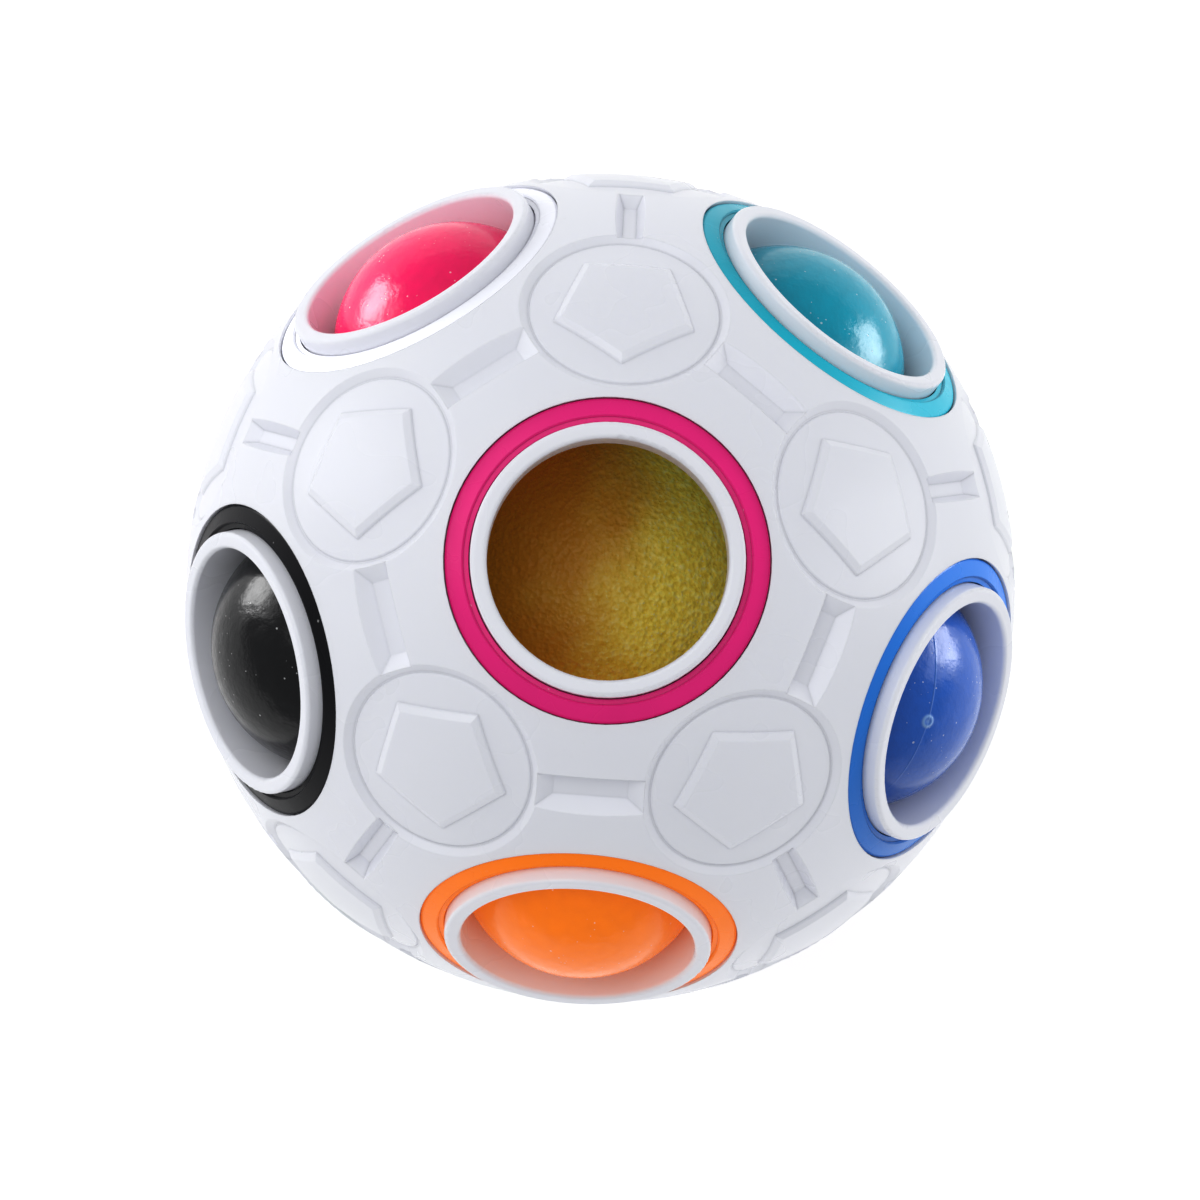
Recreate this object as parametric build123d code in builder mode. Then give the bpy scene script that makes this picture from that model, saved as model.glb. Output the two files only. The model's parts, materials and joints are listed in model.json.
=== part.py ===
"""Push-ball puzzle: a hollow ball with twelve ringed holes and eleven coloured balls round a foam core.

The frame has its origin at the ball's centre. +Z runs out through the empty hole, and the ball
stands on the rim of the opposite hole. Eleven balls sit in eleven of the holes; any ball next to
the empty hole can be pushed in and over into it.
"""
import os
from math import asin, atan, degrees, sin, sqrt

from build123d import *

# Shell
SHELL_R = 35.0           # outer radius of the raised plates
SHELL_WALL = 2.8
RIM_DROP = 1.0           # a hole's rim is this much nearer to the ball's centre than the plates
HOLE_R = 9.6
HOLE_LENGTH = 4.6        # the hole's straight wall
COLLAR_WALL = 1.35       # wall of the tube that stands round each hole
RIM_ROUND = 0.35
SHELF_THICKNESS = 1.5    # the shelf under each coloured ring
SHELF_OVERLAP = 0.6      # how far that shelf runs on into the shell

# Coloured rings
RING_WIDTH = 1.9
RING_SINK = 0.2          # the rings' faces lie this far below the plates
RING_GAP = 0.1
RING_BEVEL = 0.15
RING_LEDGE_WIDTH = 0.42  # a step down along the ring's inner edge
RING_LEDGE_DEPTH = 0.25

# Round badges where three plates meet, each with a raised pentagon
BADGE_R = 7.6
BADGE_SINK = 0.45
BADGE_GROOVE_DEPTH = 0.15
BADGE_GROOVE_FLOOR = 0.12
BADGE_GROOVE_SLOPE = 0.12
BADGE_EDGE_SLOPE = 0.7   # from the groove out and up to the plates
PENTAGON_APOTHEM = 4.25  # of its top face
PENTAGON_BEVEL = 0.6     # from the top face's edge out to the foot
PENTAGON_WALL_HEIGHT = 0.2
PENTAGON_WALL_SLOPE = 0.1

# Grooves between the plates
GROOVE_DEPTH = 1.15
GROOVE_END_SLOPE = 2.1   # how far a groove's end slopes up before it meets the badge
POLE_GROOVE_NEAR = 1.3   # the groove round a pole plate has a steep side next to the plate
POLE_GROOVE_NEAR_SLOPE = 0.15
POLE_GROOVE_FAR = 2.2
POLE_GROOVE_FAR_SLOPE = 1.3
SIDE_GROOVE_HALF_WIDTH = 1.25
SIDE_GROOVE_FLOOR_HALF_WIDTH = 0.55
ABOVE_SHELL = 0.5        # cutters reach this far past the plates

# Seam between the two halves
LIP_THICKNESS = 0.8
LIP_HEIGHT = 1.2
LIP_GAP = 0.05

# Balls and core
BALL_HOLD = 0.8          # a ball is this much wider in radius than its hole
BALL_GAP = 0.12          # between a seated ball and its seat
CORE_SQUEEZE = 1.0       # how deep the balls press into the core
CORE_GAP = 0.3           # between the core's dents and the balls

# Hole directions: two poles, and two belts of five
BELT_ANGLE = degrees(atan(2))
SEAM_TURN = 36.0
BADGE_HALF_SPACING = atan((3 - sqrt(5)) / 2)  # radians
UPPER_COLOURS = ("teal", "white", "black", "orange", "blue")
UPPER_START = 54.0
LOWER_COLOURS = ("yellow", "red", "green", "purple", "lime")
LOWER_START = UPPER_START + SEAM_TURN
EMPTY_HOLE = "magenta"   # the top hole
BOTTOM_HOLE = "sky"
BALL_OUT_OF_PLACE = ("magenta", "white")  # this colour's ball sits in that colour's hole

os.makedirs("parts", exist_ok=True)


def direction(polar, azimuth):
    """Unit vector at an angle from +Z and an azimuth from +X, both in degrees."""
    return Vector(0, 0, 1).rotate(Axis.Y, polar).rotate(Axis.Z, azimuth)


def drop(radius, across):
    """Height of a sphere's surface at a distance from its axis."""
    return sqrt(radius**2 - across**2)


def plane_at(height, normal, x_dir=None):
    """Plane square to a direction from the centre, at a height along it."""
    return Plane(origin=normal * height, x_dir=x_dir, z_dir=normal)


HOLES = {EMPTY_HOLE: direction(0, 0), BOTTOM_HOLE: direction(180, 0)}
for number, colour in enumerate(UPPER_COLOURS):
    HOLES[colour] = direction(BELT_ANGLE, UPPER_START + 72 * number)
for number, colour in enumerate(LOWER_COLOURS):
    HOLES[colour] = direction(180 - BELT_ANGLE, LOWER_START + 72 * number)
HOLE_PLANES = [plane_at(0, normal) for normal in HOLES.values()]

# Heights along a hole's direction, from the ball's centre
rim_height = SHELL_R - RIM_DROP
seat_height = rim_height - HOLE_LENGTH
shelf_height = seat_height + SHELF_THICKNESS
# A seated ball touches the inner end of the hole's wall, less the gap.
ball_r = HOLE_R + BALL_HOLD
ball_height = seat_height - drop(ball_r, HOLE_R)
# The bottom ball is pushed in by the table until it is level with the rim that the toy stands on.
bottom_ball_height = rim_height - ball_r

inner_r = SHELL_R - SHELL_WALL
collar_r = HOLE_R + COLLAR_WALL
pocket_r = collar_r + RING_WIDTH + 2 * RING_GAP
groove_floor_r = SHELL_R - GROOVE_DEPTH
# A groove runs between two badges: from its middle to where the badge's rim begins.
groove_half_length = SHELL_R * sin(BADGE_HALF_SPACING - asin(BADGE_R / SHELL_R))
groove_floor_half_length = groove_half_length - GROOVE_END_SLOPE
cutter_top = SHELL_R + ABOVE_SHELL

# ---- cutters and the hole's tube, each made once on +Z
with BuildPart() as hole_tube:
    with BuildSketch(Plane.XZ):
        with BuildLine():
            Polyline(
                (HOLE_R, seat_height),
                (pocket_r + SHELF_OVERLAP, seat_height),
                (pocket_r + SHELF_OVERLAP, shelf_height),
                (collar_r, shelf_height),
                (collar_r, rim_height),
                (HOLE_R, rim_height),
                close=True,
            )
        make_face()
        rim_corners = vertices().sort_by(Axis.Y)[-2:]
        fillet(rim_corners, RIM_ROUND)
    revolve(axis=Axis.Z)

badge_r = SHELL_R - BADGE_SINK
badge_floor = drop(badge_r, BADGE_R) - BADGE_GROOVE_DEPTH
badge_inner = BADGE_R + BADGE_GROOVE_SLOPE
badge_outer = badge_inner + BADGE_GROOVE_FLOOR
badge_edge = badge_outer + BADGE_EDGE_SLOPE
badge_edge_rise = drop(SHELL_R, badge_edge) - badge_floor
badge_reach = (badge_edge_rise + ABOVE_SHELL) / badge_edge_rise
badge_top_r = badge_outer + BADGE_EDGE_SLOPE * badge_reach

# The raised pentagon has a steep wall round its foot, then a gentle slope up to the level of the plates.
# Each side turns about an axis through the ball's centre, so it follows the ball's curve.
pentagon_foot = PENTAGON_APOTHEM + PENTAGON_BEVEL
pentagon_foot_height = drop(badge_r, pentagon_foot)
pentagon_top_height = drop(SHELL_R, PENTAGON_APOTHEM)
slope_run = PENTAGON_BEVEL - PENTAGON_WALL_SLOPE
slope_rise = pentagon_top_height - pentagon_foot_height - PENTAGON_WALL_HEIGHT
far_height = pentagon_top_height + (PENTAGON_APOTHEM + BADGE_R) * slope_rise / slope_run
with BuildPart() as pentagon_side:
    with BuildSketch(Plane.XZ):
        with BuildLine():
            Polyline(
                (-BADGE_R, 0),
                (pentagon_foot + PENTAGON_WALL_SLOPE, 0),
                (pentagon_foot + PENTAGON_WALL_SLOPE, pentagon_foot_height - PENTAGON_WALL_HEIGHT),
                (pentagon_foot - PENTAGON_WALL_SLOPE, pentagon_foot_height + PENTAGON_WALL_HEIGHT),
                (-BADGE_R, far_height),
                close=True,
            )
        make_face()
    revolve(axis=Axis.X)
with BuildPart() as pentagon:
    add(pentagon_side.part.rotate(Axis.Z, 36))
    for number in range(1, 5):
        add(pentagon_side.part.rotate(Axis.Z, 36 + 72 * number), mode=Mode.INTERSECT)

with BuildPart() as badge_cutter:
    with BuildSketch(Plane.XZ):
        with BuildLine():
            crown = (0, badge_r)
            crown_middle = (BADGE_R / 2, drop(badge_r, BADGE_R / 2))
            crown_edge = (BADGE_R, drop(badge_r, BADGE_R))
            ThreePointArc(crown, crown_middle, crown_edge)
            Polyline(
                crown_edge,
                (badge_inner, badge_floor),
                (badge_outer, badge_floor),
                (badge_top_r, badge_floor + badge_edge_rise + ABOVE_SHELL),
                (badge_top_r, cutter_top),
                (0, cutter_top),
                crown,
            )
        make_face()
    revolve(axis=Axis.Z)
    add(pentagon.part, mode=Mode.SUBTRACT)


def groove_cutter(near, near_floor, far, far_floor):
    """Tapered trough along Y on +Z; near is its width towards -X and far towards +X."""
    with BuildPart() as trough:
        with BuildSketch(Plane.XY.offset(groove_floor_r)):
            with Locations(((far_floor - near_floor) / 2, 0)):
                Rectangle(far_floor + near_floor, 2 * groove_floor_half_length)
        with BuildSketch(Plane.XY.offset(cutter_top)):
            reach = (GROOVE_DEPTH + ABOVE_SHELL) / GROOVE_DEPTH
            near_top = near_floor + (near - near_floor) * reach
            far_top = far_floor + (far - far_floor) * reach
            half_top = groove_floor_half_length
            half_top += (groove_half_length - groove_floor_half_length) * reach
            with Locations(((far_top - near_top) / 2, 0)):
                Rectangle(far_top + near_top, 2 * half_top)
        loft(ruled=True)
    return trough.part


pole_groove = groove_cutter(
    POLE_GROOVE_NEAR,
    POLE_GROOVE_NEAR - POLE_GROOVE_NEAR_SLOPE,
    POLE_GROOVE_FAR,
    POLE_GROOVE_FAR - POLE_GROOVE_FAR_SLOPE,
)
side_groove = groove_cutter(
    SIDE_GROOVE_HALF_WIDTH,
    SIDE_GROOVE_FLOOR_HALF_WIDTH,
    SIDE_GROOVE_HALF_WIDTH,
    SIDE_GROOVE_FLOOR_HALF_WIDTH,
)


def badge_planes():
    """Planes of the twenty badges; each pentagon's tip points along its plane's X."""
    planes = []
    for pole in (1, -1):
        near = [normal for normal in HOLES.values() if 0 < normal.Z * pole < 0.9]
        start = UPPER_START if pole > 0 else LOWER_START
        for number in range(len(near)):
            azimuth = start + SEAM_TURN + 72 * number
            belt = direction(BELT_ANGLE, azimuth - SEAM_TURN) + direction(BELT_ANGLE, azimuth + SEAM_TURN)
            first = (belt + direction(0, 0)).normalized()
            second = (belt + direction(180 - BELT_ANGLE, azimuth)).normalized()
            for normal, tip in ((first, 1), (second, -1)):
                up = Vector(0, 0, tip)
                x_dir = up - normal * up.dot(normal)
                if pole < 0:
                    normal = Vector(normal.X, normal.Y, -normal.Z)
                    x_dir = Vector(x_dir.X, x_dir.Y, -x_dir.Z)
                planes.append(plane_at(0, normal, x_dir))
    return planes


def groove_planes():
    """Planes of the grooves round the two pole plates, and of all the others."""
    round_poles = []
    others = []
    names = list(HOLES)
    poles = (EMPTY_HOLE, BOTTOM_HOLE)
    for index, one in enumerate(names):
        for other in names[index + 1:]:
            if HOLES[one].get_angle(HOLES[other]) > BELT_ANGLE + 1:
                continue
            middle = (HOLES[one] + HOLES[other]).normalized()
            across = HOLES[other] - HOLES[one]
            plane = plane_at(0, middle, across)
            if one in poles:
                round_poles.append(plane)
            else:
                others.append(plane)
    return round_poles, others


# ---- the whole ball body, cut in two afterwards
pole_groove_planes, side_groove_planes = groove_planes()
with BuildPart() as body:
    Sphere(SHELL_R)
    Sphere(inner_r, mode=Mode.SUBTRACT)
    with Locations(*badge_planes()):
        add(badge_cutter.part, mode=Mode.SUBTRACT)
    with Locations(*pole_groove_planes):
        add(pole_groove, mode=Mode.SUBTRACT)
    with Locations(*side_groove_planes):
        add(side_groove, mode=Mode.SUBTRACT)
    with Locations(*[plane.offset(SHELL_R) for plane in HOLE_PLANES]):
        Cylinder(pocket_r, SHELL_R, mode=Mode.SUBTRACT)
    with Locations(*HOLE_PLANES):
        add(hole_tube.part)
    with Locations(*[plane.offset(ball_height) for plane in HOLE_PLANES]):
        Sphere(ball_r + BALL_GAP, mode=Mode.SUBTRACT)

lip_r = inner_r + LIP_THICKNESS
with BuildPart() as upper_shell:
    add(body.part)
    split(bisect_by=Plane.XY, keep=Keep.TOP)
    Cylinder(lip_r + LIP_GAP, 2 * (LIP_HEIGHT + LIP_GAP), mode=Mode.SUBTRACT)
upper_shell.part.label = "upper_shell"
export_step(upper_shell.part, "parts/upper_shell.step")

with BuildPart() as lower_shell:
    add(body.part)
    split(bisect_by=Plane.XY, keep=Keep.BOTTOM)
    # The lip stands up inside the upper half and reaches down the lower half's wall.
    with BuildSketch(Plane.XZ):
        with BuildLine():
            Polyline(
                (inner_r - 0.01, -LIP_HEIGHT),
                (lip_r, -LIP_HEIGHT),
                (lip_r, LIP_HEIGHT),
                (inner_r - 0.01, LIP_HEIGHT),
                close=True,
            )
        make_face()
    revolve(axis=Axis.Z)
lower_shell.part.label = "lower_shell"
export_step(lower_shell.part, "parts/lower_shell.step")

# ---- coloured rings
ring_r = SHELL_R - RING_SINK
ring_inner = collar_r + RING_GAP
ring_outer = ring_inner + RING_WIDTH
ledge_outer = ring_inner + RING_LEDGE_WIDTH
ledge_height = drop(ring_r, ledge_outer) - RING_LEDGE_DEPTH
face_start_r = ledge_outer + RING_BEVEL
face_end_r = ring_outer - RING_BEVEL
face_middle_r = (face_start_r + face_end_r) / 2
with BuildPart() as ring:
    with BuildSketch(Plane.XZ):
        with BuildLine():
            face_start = (face_start_r, drop(ring_r, face_start_r))
            face_end = (face_end_r, drop(ring_r, face_end_r))
            ThreePointArc(face_start, (face_middle_r, drop(ring_r, face_middle_r)), face_end)
            Polyline(
                face_end,
                (ring_outer, face_end[1] - RING_BEVEL),
                (ring_outer, shelf_height),
                (ring_inner, shelf_height),
                (ring_inner, ledge_height),
                (ledge_outer, ledge_height),
                (ledge_outer, face_start[1] - RING_BEVEL),
                face_start,
            )
        make_face()
    revolve(axis=Axis.Z)

for colour, plane in zip(HOLES, HOLE_PLANES):
    with BuildPart() as placed_ring:
        with Locations(plane):
            add(ring.part)
    placed_ring.part.label = f"ring_{colour}"
    export_step(placed_ring.part, f"parts/ring_{colour}.step")

# ---- balls
ball_hole = {colour: colour for colour in HOLES if colour != EMPTY_HOLE}
moved_ball, its_hole = BALL_OUT_OF_PLACE
del ball_hole[its_hole]
ball_hole[moved_ball] = its_hole
ball_planes = {}
for colour, hole in ball_hole.items():
    height = bottom_ball_height if hole == BOTTOM_HOLE else ball_height
    ball_planes[colour] = plane_at(height, HOLES[hole])

for colour, plane in ball_planes.items():
    with BuildPart() as placed_ball:
        with Locations(plane):
            Sphere(ball_r)
    placed_ball.part.label = f"ball_{colour}"
    export_step(placed_ball.part, f"parts/ball_{colour}.step")

# ---- foam core, dented where the balls press on it
with BuildPart() as foam_core:
    Sphere(ball_height - ball_r + CORE_SQUEEZE)
    with Locations(*ball_planes.values()):
        Sphere(ball_r + CORE_GAP, mode=Mode.SUBTRACT)
foam_core.part.label = "foam_core"
export_step(foam_core.part, "parts/foam_core.step")
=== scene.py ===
import json
import math
import bpy
import numpy as np
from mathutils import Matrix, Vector

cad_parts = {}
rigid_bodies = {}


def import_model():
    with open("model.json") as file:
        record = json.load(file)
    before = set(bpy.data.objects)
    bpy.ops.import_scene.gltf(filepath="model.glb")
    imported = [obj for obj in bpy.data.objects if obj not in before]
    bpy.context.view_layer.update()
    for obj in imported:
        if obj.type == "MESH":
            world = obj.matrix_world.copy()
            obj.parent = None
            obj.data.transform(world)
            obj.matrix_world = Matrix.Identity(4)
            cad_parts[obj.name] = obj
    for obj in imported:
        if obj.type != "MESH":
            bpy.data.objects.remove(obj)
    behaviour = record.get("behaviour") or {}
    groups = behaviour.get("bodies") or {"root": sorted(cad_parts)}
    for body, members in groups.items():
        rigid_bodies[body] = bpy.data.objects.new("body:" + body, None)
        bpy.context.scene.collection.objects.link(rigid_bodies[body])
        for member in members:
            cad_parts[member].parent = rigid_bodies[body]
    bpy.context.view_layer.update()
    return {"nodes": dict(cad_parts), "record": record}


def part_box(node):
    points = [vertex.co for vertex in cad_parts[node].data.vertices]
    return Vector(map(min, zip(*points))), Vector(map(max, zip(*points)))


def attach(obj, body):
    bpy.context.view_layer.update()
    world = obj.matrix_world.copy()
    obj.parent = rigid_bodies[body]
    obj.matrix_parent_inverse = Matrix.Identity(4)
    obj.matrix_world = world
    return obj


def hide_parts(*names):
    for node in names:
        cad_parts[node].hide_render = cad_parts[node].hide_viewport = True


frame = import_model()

# ---------------------------------------------------------------- white shell halves
# Two halves moulded in glossy white ABS and snapped together on a lip at the middle. The mould was
# polished, so the plates shine, with faint sink and flow marks, and painted shade darkens the grooves.

MM = 0.001
DUST_WHITE = (0.8, 0.8, 0.8)
nodes = frame["nodes"]


def new_material(name):
    """Empty material; returns it, its node tree, and a function that adds a node with its settings."""
    material = bpy.data.materials.new(name)
    material.use_nodes = True
    tree = material.node_tree
    tree.nodes.clear()

    def make(kind, **settings):
        node = tree.nodes.new(kind)
        for key, value in settings.items():
            setattr(node, key, value)
        return node

    return material, tree, make


def surface_marks_group():
    """Group for moulded plastic: a height in millimetres, a mask of nicks and a soft cloud.

    The height is soft noise for the waves, plus fine noise for the grain, less a pit at each nick.
    A nick is a wobbly dot at the middle of a cell, in a few cells where a soft noise is high.
    """
    group = bpy.data.node_groups.new("moulded surface marks", "ShaderNodeTree")
    face = group.interface
    for name, value in (
        ("Wave size mm", 6.0),
        ("Wave height mm", 0.004),
        ("Grain size mm", 0.35),
        ("Grain height mm", 0.001),
        ("Nick size mm", 1.4),
        ("Nick amount", 0.1),
        ("Offset", 0.0),
    ):
        socket = face.new_socket(name, in_out="INPUT", socket_type="NodeSocketFloat")
        socket.default_value = value
    for name in ("Height", "Nicks", "Cloud"):
        face.new_socket(name, in_out="OUTPUT", socket_type="NodeSocketFloat")

    def make(kind, **settings):
        node = group.nodes.new(kind)
        for key, value in settings.items():
            setattr(node, key, value)
        return node

    def link(a, b):
        group.links.new(a, b)

    def maths(operation, a, b):
        node = make("ShaderNodeMath", operation=operation)
        for socket, value in zip(node.inputs, (a, b)):
            if isinstance(value, (int, float)):
                socket.default_value = value
            else:
                link(value, socket)
        return node.outputs[0]

    nick_depth_mm = 0.01
    inputs = make("NodeGroupInput").outputs
    place = make("ShaderNodeTexCoord").outputs["Object"]
    shift = make("ShaderNodeCombineXYZ")
    link(inputs["Offset"], shift.inputs[0])
    moved = make("ShaderNodeVectorMath", operation="ADD")
    link(place, moved.inputs[0])
    link(shift.outputs[0], moved.inputs[1])

    def noise(size_mm, detail, roughness):
        """Noise whose grains are about size_mm across."""
        node = make("ShaderNodeTexNoise")
        node.inputs["Detail"].default_value = detail
        node.inputs["Roughness"].default_value = roughness
        link(moved.outputs[0], node.inputs["Vector"])
        link(maths("DIVIDE", 1 / MM, size_mm), node.inputs["Scale"])
        return node.outputs[0]

    waves = noise(inputs["Wave size mm"], 2.0, 0.5)
    grain = noise(inputs["Grain size mm"], 3.0, 0.6)
    cells = make("ShaderNodeTexVoronoi", feature="F1")
    link(moved.outputs[0], cells.inputs["Vector"])
    link(maths("DIVIDE", 1 / MM, inputs["Nick size mm"]), cells.inputs["Scale"])
    separate = make("ShaderNodeSeparateColor")
    link(cells.outputs["Color"], separate.inputs[0])
    patches = noise(maths("MULTIPLY", inputs["Nick size mm"], 4.0), 1.0, 0.5)
    crowd = make("ShaderNodeMapRange", interpolation_type="SMOOTHSTEP")
    link(patches, crowd.inputs["Value"])
    crowd.inputs["From Min"].default_value = 0.5
    crowd.inputs["From Max"].default_value = 0.62
    share_with_nicks = maths("MULTIPLY", inputs["Nick amount"], crowd.outputs[0])
    chosen = maths("LESS_THAN", separate.outputs[0], share_with_nicks)
    radius = maths("MULTIPLY", separate.outputs[1], 0.16)
    wobble = maths("ADD", cells.outputs["Distance"], maths("MULTIPLY", grain, 0.35))
    near = make("ShaderNodeMapRange", interpolation_type="SMOOTHSTEP")
    link(wobble, near.inputs["Value"])
    link(maths("ADD", radius, 0.16), near.inputs["From Min"])
    link(maths("ADD", radius, 0.24), near.inputs["From Max"])
    near.inputs["To Min"].default_value = 1.0
    near.inputs["To Max"].default_value = 0.0
    nicks = maths("MULTIPLY", near.outputs[0], chosen)
    height = maths("MULTIPLY", waves, inputs["Wave height mm"])
    height = maths("ADD", height, maths("MULTIPLY", grain, inputs["Grain height mm"]))
    height = maths("SUBTRACT", height, maths("MULTIPLY", nicks, nick_depth_mm))
    out = make("NodeGroupOutput")
    link(height, out.inputs["Height"])
    link(nicks, out.inputs["Nicks"])
    link(waves, out.inputs["Cloud"])
    return group


surface_marks = surface_marks_group()


def moulded_edges_group():
    """Group for a moulding's edges: normals rounded over corners but not in creases, and a mask.

    The mask of creases starts where the surface nearby hides a twentieth of the view, and is full
    where it hides two fifths.
    """
    group = bpy.data.node_groups.new("moulded edges", "ShaderNodeTree")
    for name, value in (("Corner radius mm", 0.2), ("Crease width mm", 0.4)):
        socket = group.interface.new_socket(name, in_out="INPUT", socket_type="NodeSocketFloat")
        socket.default_value = value
    group.interface.new_socket("Normal", in_out="OUTPUT", socket_type="NodeSocketVector")
    group.interface.new_socket("Crease", in_out="OUTPUT", socket_type="NodeSocketFloat")
    inputs = group.nodes.new("NodeGroupInput").outputs

    def metres(millimetres, socket):
        node = group.nodes.new("ShaderNodeMath")
        node.operation = "MULTIPLY"
        group.links.new(millimetres, node.inputs[0])
        node.inputs[1].default_value = MM
        group.links.new(node.outputs[0], socket)

    corner = group.nodes.new("ShaderNodeBevel")
    corner.samples = 6
    metres(inputs["Corner radius mm"], corner.inputs["Radius"])
    open_sky = group.nodes.new("ShaderNodeAmbientOcclusion")
    open_sky.samples = 8
    open_sky.only_local = True
    metres(inputs["Crease width mm"], open_sky.inputs["Distance"])
    crease = group.nodes.new("ShaderNodeMapRange")
    crease.inputs["From Min"].default_value = 0.95
    crease.inputs["From Max"].default_value = 0.6
    group.links.new(open_sky.outputs["AO"], crease.inputs["Value"])
    flat = group.nodes.new("ShaderNodeNewGeometry")
    normal = group.nodes.new("ShaderNodeMix")
    normal.data_type = "VECTOR"
    group.links.new(crease.outputs[0], normal.inputs["Factor"])
    group.links.new(corner.outputs[0], normal.inputs["A"])
    group.links.new(flat.outputs["Normal"], normal.inputs["B"])
    out = group.nodes.new("NodeGroupOutput")
    group.links.new(normal.outputs["Result"], out.inputs["Normal"])
    group.links.new(crease.outputs[0], out.inputs["Crease"])
    return group


moulded_edges = moulded_edges_group()


def plastic(
    name,
    colour,
    shade,
    roughness,
    marks,
    edges=None,
    pale_nicks=0.3,
    soft=0.0,
    offset=0.0,
    gloss=0.5,
    scar=None,
    glow=0.0,
):
    """Moulded plastic: colour clouds towards shade, nicks pale, creases darkened by painted shade, all
    under one gloss.

    Where the mesh has a "scar" attribute, the scar colour shows. The glow is painted light: a steady
    emission in the colour, lit or not.
    """
    material, tree, make = new_material(name)
    group = make("ShaderNodeGroup", node_tree=surface_marks)
    for key, value in marks.items():
        group.inputs[key].default_value = value
    group.inputs["Offset"].default_value = offset
    cloud = make("ShaderNodeMix", data_type="RGBA")
    cloud.inputs["A"].default_value = (*colour, 1)
    cloud.inputs["B"].default_value = (*shade, 1)
    tree.links.new(group.outputs["Cloud"], cloud.inputs["Factor"])
    pale = make("ShaderNodeMath", operation="MULTIPLY")
    tree.links.new(group.outputs["Nicks"], pale.inputs[0])
    pale.inputs[1].default_value = pale_nicks
    worn = make("ShaderNodeMix", data_type="RGBA")
    tree.links.new(pale.outputs[0], worn.inputs["Factor"])
    tree.links.new(cloud.outputs["Result"], worn.inputs["A"])
    worn.inputs["B"].default_value = (*DUST_WHITE, 1)
    dull = make("ShaderNodeMapRange")
    tree.links.new(group.outputs["Cloud"], dull.inputs["Value"])
    dull.inputs["From Min"].default_value = 0.35
    dull.inputs["From Max"].default_value = 0.65
    dull.inputs["To Min"].default_value = roughness[0]
    dull.inputs["To Max"].default_value = roughness[1]
    bump = make("ShaderNodeBump")
    bump.inputs["Distance"].default_value = MM
    bump.inputs["Strength"].default_value = 1.0
    tree.links.new(group.outputs["Height"], bump.inputs["Height"])
    shader = make("ShaderNodeBsdfPrincipled")
    shader.inputs["IOR"].default_value = 1.5
    shader.inputs["Specular IOR Level"].default_value = gloss
    finish = worn.outputs["Result"]
    if edges:
        corner_radius, crease_width, crease_shade_share = edges
        edge = make("ShaderNodeGroup", node_tree=moulded_edges)
        edge.inputs["Corner radius mm"].default_value = corner_radius
        edge.inputs["Crease width mm"].default_value = crease_width
        tree.links.new(edge.outputs["Normal"], bump.inputs["Normal"])
        # Painted shade: the crease mask darkens the colour towards a quarter of itself.
        share = make("ShaderNodeMath", operation="MULTIPLY")
        tree.links.new(edge.outputs["Crease"], share.inputs[0])
        share.inputs[1].default_value = crease_shade_share
        painted_crease_shade = make("ShaderNodeMix", data_type="RGBA")
        tree.links.new(share.outputs[0], painted_crease_shade.inputs["Factor"])
        tree.links.new(finish, painted_crease_shade.inputs["A"])
        painted_crease_shade.inputs["B"].default_value = (*[channel * 0.25 for channel in colour], 1)
        finish = painted_crease_shade.outputs["Result"]
    if scar:
        mark = make("ShaderNodeAttribute", attribute_name="scar")
        whitened = make("ShaderNodeMix", data_type="RGBA")
        tree.links.new(mark.outputs["Fac"], whitened.inputs["Factor"])
        tree.links.new(finish, whitened.inputs["A"])
        whitened.inputs["B"].default_value = (*scar, 1)
        finish = whitened.outputs["Result"]
    shader.inputs["Emission Color"].default_value = (*colour, 1)
    shader.inputs["Emission Strength"].default_value = glow
    tree.links.new(finish, shader.inputs["Base Color"])
    tree.links.new(dull.outputs[0], shader.inputs["Roughness"])
    tree.links.new(bump.outputs[0], shader.inputs["Normal"])
    shader.inputs["Subsurface Weight"].default_value = soft
    shader.inputs["Subsurface Radius"].default_value = (0.9, 0.9, 1.0)
    shader.inputs["Subsurface Scale"].default_value = 1.2 * MM
    out = make("ShaderNodeOutputMaterial")
    tree.links.new(shader.outputs[0], out.inputs[0])
    return material


def paint(node_name, material):
    """Puts a material on a CAD node in place of its own."""
    piece = nodes[node_name]
    piece.data.materials.clear()
    piece.data.materials.append(material)


SHELL_MARKS = {
    "Wave size mm": 9.0,
    "Wave height mm": 0.02,
    "Grain size mm": 0.5,
    "Grain height mm": 0.0006,
    "Nick size mm": 0.9,
    "Nick amount": 0.03,
}
white_plastic = plastic(
    "white ABS",
    (0.86, 0.865, 0.925),
    (0.88, 0.885, 0.935),
    (0.26, 0.34),
    SHELL_MARKS,
    # Corner radius and crease width in mm, then the share of painted shade in the creases.
    edges=(0.16, 0.3, 0.42),
    pale_nicks=0.1,
    soft=0.15,
)
for half in ("upper_shell", "lower_shell"):
    paint(half, white_plastic)

# ---------------------------------------------------------------- coloured rings
# Flat rings moulded in coloured ABS and pressed into a seat round each hole. Their faces carry a fine
# satin grain and a few specks of dust and knocks from handling.

RING_COLOURS = {
    "magenta": (0.87, 0.028, 0.26),
    "white": (0.86, 0.865, 0.925),
    "teal": (0.0, 0.42, 0.55),
    "black": (0.006, 0.006, 0.008),
    "orange": (1.0, 0.24, 0.006),
    "blue": (0.015, 0.20, 0.68),
    "sky": (0.06, 0.48, 0.90),
    "yellow": (0.97, 0.68, 0.01),
    "red": (0.72, 0.008, 0.012),
    "green": (0.01, 0.34, 0.08),
    "purple": (0.20, 0.025, 0.42),
    "lime": (0.34, 0.68, 0.02),
}
hole_colours = [name[len("ring_"):] for name in nodes if name.startswith("ring_")]
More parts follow.
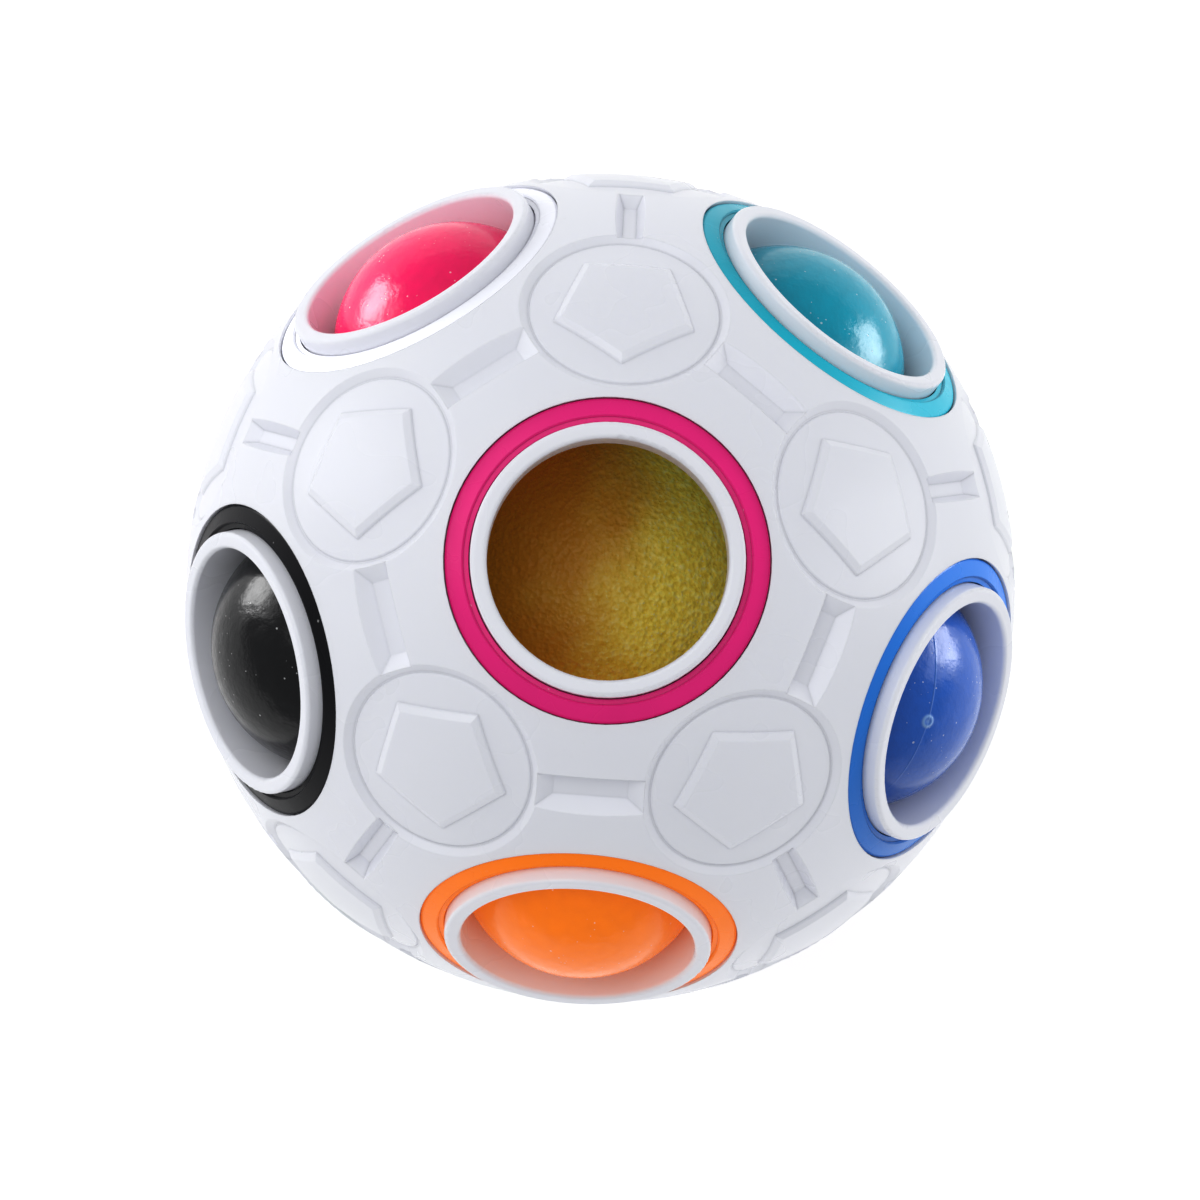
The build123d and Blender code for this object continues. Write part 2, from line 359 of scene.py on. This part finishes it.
# Painted glow: these plastics give out a steady light of their own colour, lit or not.
PAINTED_GLOW = {"orange": 0.24, "magenta": 0.04}  # these pigments give back some light as their own
RING_MARKS = {
    "Wave size mm": 4.0,
    "Wave height mm": 0.012,
    "Grain size mm": 0.25,
    "Grain height mm": 0.0012,
    "Nick size mm": 0.6,
    "Nick amount": 0.12,
}


def darker(colour, share):
    """The colour with each channel cut to a share of itself."""
    return tuple(channel * share for channel in colour)


for number, colour in enumerate(hole_colours):
    tint = RING_COLOURS[colour]
    ring_plastic = plastic(
        f"{colour} ring ABS",
        tint,
        darker(tint, 0.88),
        (0.24, 0.32),
        RING_MARKS,
        # Corner radius and crease width in mm, then the share of painted shade in the creases.
        edges=(0.1, 0.18, 0.6),
        gloss=0.15 if colour == "black" else 0.35,
        glow=PAINTED_GLOW.get(colour, 0.0),
        pale_nicks=0.25,
        offset=0.1 * number,
    )
    paint(f"ring_{colour}", ring_plastic)

# ---------------------------------------------------------------- balls
# Solid balls moulded in coloured plastic in two-part moulds. Each keeps the thin flash of its mould's
# joint as a ridge round its middle, with the cut stub of its gate on it, and tumble marks all over.

FLASH_HEIGHT = 0.035 * MM
FLASH_HALF_WIDTH = 0.07 * MM
GATE_RADIUS = 0.5 * MM
GATE_HEIGHT = 0.11 * MM
BALL_COLOURS = {
    "magenta": (0.84, 0.008, 0.135),
    "teal": (0.0, 0.31, 0.43),
    "black": (0.005, 0.005, 0.006),
    "orange": (1.0, 0.235, 0.001),
    "blue": (0.016, 0.115, 0.49),
    "sky": (0.04, 0.42, 0.82),
    "yellow": (0.94, 0.63, 0.008),
    "red": (0.66, 0.006, 0.01),
    "green": (0.006, 0.27, 0.06),
    "purple": (0.16, 0.02, 0.35),
    "lime": (0.29, 0.60, 0.012),
}
# Where the blue ball's gate points, and a second direction that its flash passes through.
BLUE_GATE, BLUE_FLASH = (0.53, -0.31, 0.79), (0.54, 0.33, 0.77)
FLASH_HIDDEN = ("magenta", "teal", "black", "orange")  # these lie with their flash down in the hole
ball_colours = [name[len("ball_"):] for name in nodes if name.startswith("ball_")]
rng = np.random.default_rng(12)


def crowded(count, low, high, middle, width, share):
    """Steps from low to high, spaced by the running total of a density: even, with a bell at middle."""
    grid = np.linspace(low, high, 4001)
    weight = (1 - share) / (high - low) + share * np.exp(-(((grid - middle) / width) ** 2)) / (
        width * math.sqrt(math.pi)
    )
    total = np.concatenate(([0.0], np.cumsum((weight[1:] + weight[:-1]) / 2 * np.diff(grid))))
    steps = np.interp(np.linspace(0, total[-1], count), total, grid)
    steps[0], steps[-1] = low, high
    return steps


def closed_grid(name, points, material):
    """Closed mesh from a grid of points: rows go from pole to pole, columns go round.

    Each pole is one point with a fan of triangles, and each square of the grid between is one face.
    """
    rows, columns = points.shape[:2]
    flat = np.concatenate((points[:1, 0], points[1:-1].reshape(-1, 3), points[-1:, 0]))
    row, column = np.meshgrid(np.arange(rows - 3), np.arange(columns), indexing="ij")
    following = (column + 1) % columns
    corner = 1 + row * columns
    below = corner + columns
    quads = np.stack((corner + column, corner + following, below + following, below + column), -1)
    around = np.arange(columns)
    after = (around + 1) % columns
    last_row = 1 + (rows - 3) * columns
    top = np.stack((np.zeros_like(around), 1 + after, 1 + around), -1)
    bottom = np.stack((np.full_like(around, len(flat) - 1), last_row + around, last_row + after), -1)
    mesh = bpy.data.meshes.new(name)
    mesh.from_pydata(flat.tolist(), [], top.tolist() + quads.reshape(-1, 4).tolist() + bottom.tolist())
    mesh.polygons.foreach_set("use_smooth", np.ones(len(mesh.polygons), bool))
    mesh.materials.append(material)
    piece = bpy.data.objects.new(name, mesh)
    bpy.context.scene.collection.objects.link(piece)
    return piece


def ball_points(centre, radius, gate, through):
    """Points of a ball on latitude and longitude, and how whitened the plastic is at each.

    The distance from the centre is the radius, plus a thin bell-shaped ridge along the equator, higher
    and lower by turns, plus a low round stub at longitude 0, flat on top, less a bell-shaped dimple in
    it. The whitening is a bell round the stub's edge, plus the dimple, plus a share of the ridge.
    """
    x = np.asarray(gate, float)
    x /= np.linalg.norm(x)
    z = np.cross(x, np.asarray(through, float))
    z /= np.linalg.norm(z)
    y = np.cross(z, x)
    latitude = crowded(97, -math.pi / 2, math.pi / 2, 0, 0.05, 0.45)
    longitude = crowded(161, -math.pi, math.pi, 0, 0.06, 0.25)[:-1]
    lat, lon = np.meshgrid(latitude, longitude, indexing="ij")
    ridge = FLASH_HEIGHT * np.exp(-((radius * lat / FLASH_HALF_WIDTH) ** 2))
    from_gate = radius * np.hypot(lat, lon * np.cos(lat))
    ridge *= 0.6 + 0.4 * np.sin(7 * lon) * np.sin(3 * lon + 1)
    stub = 1 / (1 + np.exp((from_gate - GATE_RADIUS) / (0.06 * MM)))
    dimple = np.exp(-((from_gate / (0.5 * GATE_RADIUS)) ** 2))
    far = radius - 0.04 * MM + ridge + GATE_HEIGHT * (stub - 0.7 * dimple)
    along_x = (np.cos(lat) * np.cos(lon))[..., None] * x
    along_y = (np.cos(lat) * np.sin(lon))[..., None] * y
    along_z = np.sin(lat)[..., None] * z
    points = np.asarray(centre) + far[..., None] * (along_x + along_y + along_z)
    edge = np.exp(-(((from_gate - 0.9 * GATE_RADIUS) / (0.13 * MM)) ** 2))
    scar = np.clip(0.85 * edge + 0.5 * dimple + 0.25 * ridge / FLASH_HEIGHT, 0, 1)
    return points, scar


def stressed(colour):
    """The colour of stressed plastic: seven parts of the colour to three of pale blue-white."""
    return tuple(0.7 * channel + 0.3 * pale for channel, pale in zip(colour, (0.7, 1.0, 1.0)))


BALL_MARKS = {
    "Wave size mm": 1.1,
    "Wave height mm": 0.05,
    "Grain size mm": 0.32,
    "Grain height mm": 0.014,
    "Nick size mm": 0.5,
    "Nick amount": 0.9,
}
bodies = frame["record"]["behaviour"]["bodies"]
ball_bodies = {node_name: body for body, names in bodies.items() for node_name in names}
for number, colour in enumerate(ball_colours):
    node_name = f"ball_{colour}"
    low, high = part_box(node_name)
    tint = BALL_COLOURS[colour]
    ball_plastic = plastic(
        f"{colour} ball plastic",
        tint,
        darker(tint, 0.8),
        (0.17, 0.25),
        BALL_MARKS,
        pale_nicks=0.45,
        offset=0.1 * number + 2,
        gloss=0.45 if colour == "black" else 0.55,
        scar=stressed(tint),
        glow=PAINTED_GLOW.get(colour, 0.0),
    )
    centre = np.array((low + high) / 2)
    ball_radius = (high - low)[0] / 2
    gate, through = rng.normal(size=(2, 3))
    if colour == "blue":
        gate, through = BLUE_GATE, BLUE_FLASH
    elif colour in FLASH_HIDDEN:
        gate = np.cross(centre, (0, 0, 1))
        through = np.cross(centre, gate)
    points, scar = ball_points(centre, ball_radius, gate, through)
    ball = closed_grid(f"{colour}_ball", points, ball_plastic)
    scar_of_points = np.concatenate((scar[:1, 0], scar[1:-1].ravel(), scar[-1:, 0]))
    ball.data.attributes.new("scar", "FLOAT", "POINT").data.foreach_set("value", scar_of_points)
    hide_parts(node_name)
    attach(ball, ball_bodies[node_name])

# ---------------------------------------------------------------- foam core
# A ball cut from yellow open-cell sponge foam, held only by the plastic balls that press into it. Its
# skin is a mass of tiny torn cells. Painted light makes their walls paler and glinting; painted shade
# makes one side brown; a faint painted glow lifts it all.

CELL_SIZE = 0.45 * MM
CELL_DEPTH = 0.11 * MM
LUMP_SIZE = 4 * MM
LUMP_DEPTH = 0.12 * MM
DENT_GAP = 0.12 * MM
DENT_SOFTNESS = 0.35 * MM
FOAM_SHADE_BROWN = (0.62, 0.27, 0.02)
FOAM_GLINT = (0.85, 0.78, 0.3)
# From the cells' pits to their walls: darker pits as painted shade, paler walls as painted light.
FOAM_YELLOWS = ((0.3, (0.80, 0.60, 0.05)), (0.52, (0.94, 0.78, 0.11)), (0.72, (1.0, 0.90, 0.26)))


def smooth_noise(points, size, seed):
    """Soft random height from -1 to 1: each cube of side size blends random values at its corners."""
    table = np.random.default_rng(seed).uniform(-1, 1, 4096)
    scaled = points / size
    cell = np.floor(scaled).astype(int)
    part = scaled - cell
    part = part * part * (3 - 2 * part)
    total = 0
    for corner in range(8):
        step = np.array([corner & 1, corner >> 1 & 1, corner >> 2 & 1])
        index = (cell + step) @ np.array([73, 1571, 3119])
        weight = np.prod(np.where(step, part, 1 - part), -1)
        total = total + table[index % 4096] * weight
    return total


def foam_points(radius, balls, rows, columns):
    """Points of the foam ball on latitude and longitude.

    The distance from the centre is the smaller of the radius and the way to each pressing ball's near
    side, blended over DENT_SOFTNESS where they meet, less small pits and slow lumps of noise.
    """
    lat = np.linspace(-math.pi / 2, math.pi / 2, rows)[:, None]
    lon = np.linspace(0, 2 * math.pi, columns, endpoint=False)[None, :]
    way = np.stack(
        (np.cos(lat) * np.cos(lon), np.cos(lat) * np.sin(lon), np.sin(lat) + 0 * lon), -1
    )
    far = np.full(way.shape[:2], radius)
    for middle, ball_radius in balls:
        along = way @ middle
        inside = along**2 - middle @ middle + (ball_radius + DENT_GAP) ** 2
        ahead = (inside > 0) & (along > 0)
        dent = np.where(ahead, along - np.sqrt(np.maximum(inside, 0)), radius * 2)
        mix = np.clip((far - dent) / DENT_SOFTNESS * 0.5 + 0.5, 0, 1)
        far = far * (1 - mix) + dent * mix - DENT_SOFTNESS * mix * (1 - mix)
    skin = way * far[..., None]
    pits = smooth_noise(skin, CELL_SIZE, 1) + 0.6 * smooth_noise(skin, CELL_SIZE / 2, 2)
    lumps = smooth_noise(skin, LUMP_SIZE, 3)
    far = far - CELL_DEPTH * np.maximum(pits, 0) + LUMP_DEPTH * (lumps - 1)
    return way * far[..., None]


def foam_material():
    """Torn foam: painted shade makes one side brown and painted light the other yellow; fine cells
    whose walls carry painted glints.
    """
    material, tree, make = new_material("yellow sponge foam")
    place = make("ShaderNodeTexCoord").outputs["Object"]

    def noise(size_mm, detail):
        node = make("ShaderNodeTexNoise")
        node.inputs["Scale"].default_value = 1 / (size_mm * MM)
        node.inputs["Detail"].default_value = detail
        tree.links.new(place, node.inputs["Vector"])
        return node.outputs[0]

    cells = make("ShaderNodeTexVoronoi", feature="F1")
    cells.inputs["Scale"].default_value = 1 / (0.42 * MM)
    tree.links.new(place, cells.inputs["Vector"])
    grain = noise(0.5, 4.0)
    ramp = make("ShaderNodeValToRGB")
    tree.links.new(grain, ramp.inputs[0])
    stops = ramp.color_ramp.elements
    stops[0].position, stops[1].position = FOAM_YELLOWS[0][0], FOAM_YELLOWS[2][0]
    stops.new(FOAM_YELLOWS[1][0])
    for stop, (_, yellow) in zip(stops, FOAM_YELLOWS):
        stop.color = (*yellow, 1)
    # Painted shade and light: brown towards -X, yellow towards +X, the border blurred by slow noise.
    side = make("ShaderNodeVectorMath", operation="DOT_PRODUCT")
    tree.links.new(place, side.inputs[0])
    side.inputs[1].default_value = (1.0 / core_radius, -0.15 / core_radius, 0)
    patches = make("ShaderNodeMath", operation="ADD")
    tree.links.new(side.outputs["Value"], patches.inputs[0])
    tree.links.new(noise(9.0, 2.0), patches.inputs[1])
    lit_side = make("ShaderNodeMapRange", interpolation_type="SMOOTHSTEP")
    tree.links.new(patches.outputs[0], lit_side.inputs["Value"])
    lit_side.inputs["From Min"].default_value = 0.15
    lit_side.inputs["From Max"].default_value = 0.85
    brown = make("ShaderNodeMix", data_type="RGBA")
    tree.links.new(lit_side.outputs[0], brown.inputs["Factor"])
    brown.inputs["A"].default_value = (*FOAM_SHADE_BROWN, 1)
    tree.links.new(ramp.outputs[0], brown.inputs["B"])
    # Painted glints: pale specks where a fine noise peaks, only on the lit side.
    glint = make("ShaderNodeMapRange", interpolation_type="SMOOTHSTEP")
    tree.links.new(noise(0.28, 2.0), glint.inputs["Value"])
    glint.inputs["From Min"].default_value = 0.6
    glint.inputs["From Max"].default_value = 0.72
    pale = make("ShaderNodeMix", data_type="RGBA")
    lit = make("ShaderNodeMath", operation="MULTIPLY")
    tree.links.new(glint.outputs[0], lit.inputs[0])
    tree.links.new(lit_side.outputs[0], lit.inputs[1])
    tree.links.new(lit.outputs[0], pale.inputs["Factor"])
    tree.links.new(brown.outputs["Result"], pale.inputs["A"])
    pale.inputs["B"].default_value = (*FOAM_GLINT, 1)
    heights = make("ShaderNodeMath", operation="MULTIPLY_ADD")
    tree.links.new(cells.outputs["Distance"], heights.inputs[0])
    heights.inputs[1].default_value = 1.2
    tree.links.new(grain, heights.inputs[2])
    bump = make("ShaderNodeBump")
    bump.inputs["Distance"].default_value = 0.09 * MM
    bump.inputs["Strength"].default_value = 1.0
    tree.links.new(heights.outputs[0], bump.inputs["Height"])
    shader = make("ShaderNodeBsdfPrincipled")
    tree.links.new(pale.outputs["Result"], shader.inputs["Base Color"])
    tree.links.new(bump.outputs[0], shader.inputs["Normal"])
    shader.inputs["Roughness"].default_value = 0.5
    shader.inputs["Sheen Weight"].default_value = 0.3
    # Painted glow: the foam gives out a little light in its own painted colour.
    tree.links.new(pale.outputs["Result"], shader.inputs["Emission Color"])
    shader.inputs["Emission Strength"].default_value = 0.1
    out = make("ShaderNodeOutputMaterial")
    tree.links.new(shader.outputs[0], out.inputs[0])
    return material


core_low, core_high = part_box("foam_core")
pressing_balls = []
for colour in ball_colours:
    low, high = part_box(f"ball_{colour}")
    pressing_balls.append((np.array((low + high) / 2), (high - low)[0] / 2))
core_radius = float(core_high[2])
foam = closed_grid("foam_ball", foam_points(core_radius, pressing_balls, 260, 360), foam_material())
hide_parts("foam_core")
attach(foam, "shell")

# ---------------------------------------------------------------- table, lights and camera
# The ball stands on the rim of its lowest hole on a plain white light table, whose top glows a little,
# between two upright soft lamps, one on each side, under a broad weak one, in a pale room.

shell_low = min(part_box("lower_shell")[0][2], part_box("upper_shell")[0][2])
bpy.ops.mesh.primitive_plane_add(size=4.0, location=(0, 0, shell_low))
table = bpy.context.object
table.name = "table"
table_paint, tree, make = new_material("white table")
table_noise = make("ShaderNodeTexNoise")
table_noise.inputs["Scale"].default_value = 40.0
table_shader = make("ShaderNodeBsdfPrincipled")
table_shader.inputs["Base Color"].default_value = (0.5, 0.5, 0.5, 1)
table_shader.inputs["Roughness"].default_value = 0.7
table_shader.inputs["Specular IOR Level"].default_value = 0.1
table_shader.inputs["Emission Color"].default_value = (1.0, 1.0, 1.0, 1)
table_shader.inputs["Emission Strength"].default_value = 0.72
table_bump = make("ShaderNodeBump")
table_bump.inputs["Distance"].default_value = 0.05 * MM
tree.links.new(table_noise.outputs[0], table_bump.inputs["Height"])
tree.links.new(table_bump.outputs[0], table_shader.inputs["Normal"])
table_out = make("ShaderNodeOutputMaterial")
tree.links.new(table_shader.outputs[0], table_out.inputs[0])
table.data.materials.append(table_paint)


def spot(azimuth, elevation, distance):
    """Point round the ball's centre, by its azimuth from +X and its elevation, in degrees."""
    a, e = math.radians(azimuth), math.radians(elevation)
    return np.array((math.cos(a) * math.cos(e), math.sin(a) * math.cos(e), math.sin(e))) * distance


def soft_lamp(name, azimuth, elevation, distance, width, height, power):
    """Rectangular lamp that faces the ball: angles in degrees, lengths in metres, power in watts."""
    lamp = bpy.data.lights.new(name, "AREA")
    lamp.shape = "RECTANGLE"
    lamp.size, lamp.size_y = width, height
    lamp.energy = power
    piece = bpy.data.objects.new(name, lamp)
    place = spot(azimuth, elevation, distance)
    piece.location = place
    piece.rotation_euler = Vector(-place).to_track_quat("-Z", "Y").to_euler()
    piece.visible_camera = False
    bpy.context.scene.collection.objects.link(piece)


UPRIGHT = {"elevation": 12, "distance": 0.25, "width": 0.09, "height": 0.15}
soft_lamp("left lamp", 158, **UPRIGHT, power=0.07)
soft_lamp("right lamp", 14, **UPRIGHT, power=0.08)
soft_lamp("top lamp", 150, elevation=68, distance=0.7, width=0.5, height=0.5, power=1.5)

# Two more stand low at the sides and light only the coloured plastic, for its gloss.
coloured = bpy.data.collections.new("coloured plastic")
for colour in ball_colours:
    coloured.objects.link(bpy.data.objects[f"{colour}_ball"])
for colour in hole_colours:
    coloured.objects.link(nodes[f"ring_{colour}"])
LOW = {"elevation": 3, "distance": 0.16, "width": 0.07, "height": 0.07}
for name, azimuth, power in (("left gloss lamp", 153, 0.13), ("right gloss lamp", 24, 0.12)):
    soft_lamp(name, azimuth, **LOW, power=power)
    bpy.data.objects[name].light_linking.receiver_collection = coloured

ROOM_COLOUR, ROOM_BRIGHTNESS = (0.96, 0.98, 1.0), 0.56
world = bpy.data.worlds.new("studio")
world.use_nodes = True
room = world.node_tree.nodes["Background"]
room.inputs["Color"].default_value = (*ROOM_COLOUR, 1)
room.inputs["Strength"].default_value = ROOM_BRIGHTNESS
bpy.context.scene.world = world

CAMERA_AZIMUTH, CAMERA_ELEVATION, CAMERA_DISTANCE = -99.885, 86.034, 522.25 * MM
CAMERA_TURNS = (3.7363, -0.9545, 4.1262)  # degrees about X, Y and Z
camera_data = bpy.data.cameras.new("camera")
camera_data.sensor_width = 36.0
camera_data.lens = 185.13
camera_data.clip_end = 10.0
camera = bpy.data.objects.new("camera", camera_data)
camera.location = spot(CAMERA_AZIMUTH, CAMERA_ELEVATION, CAMERA_DISTANCE)
camera.rotation_euler = [math.radians(angle) for angle in CAMERA_TURNS]
bpy.context.scene.collection.objects.link(camera)
bpy.context.scene.camera = camera
bpy.context.scene.view_settings.view_transform = "Standard"
bpy.context.scene.view_settings.gamma = 0.78
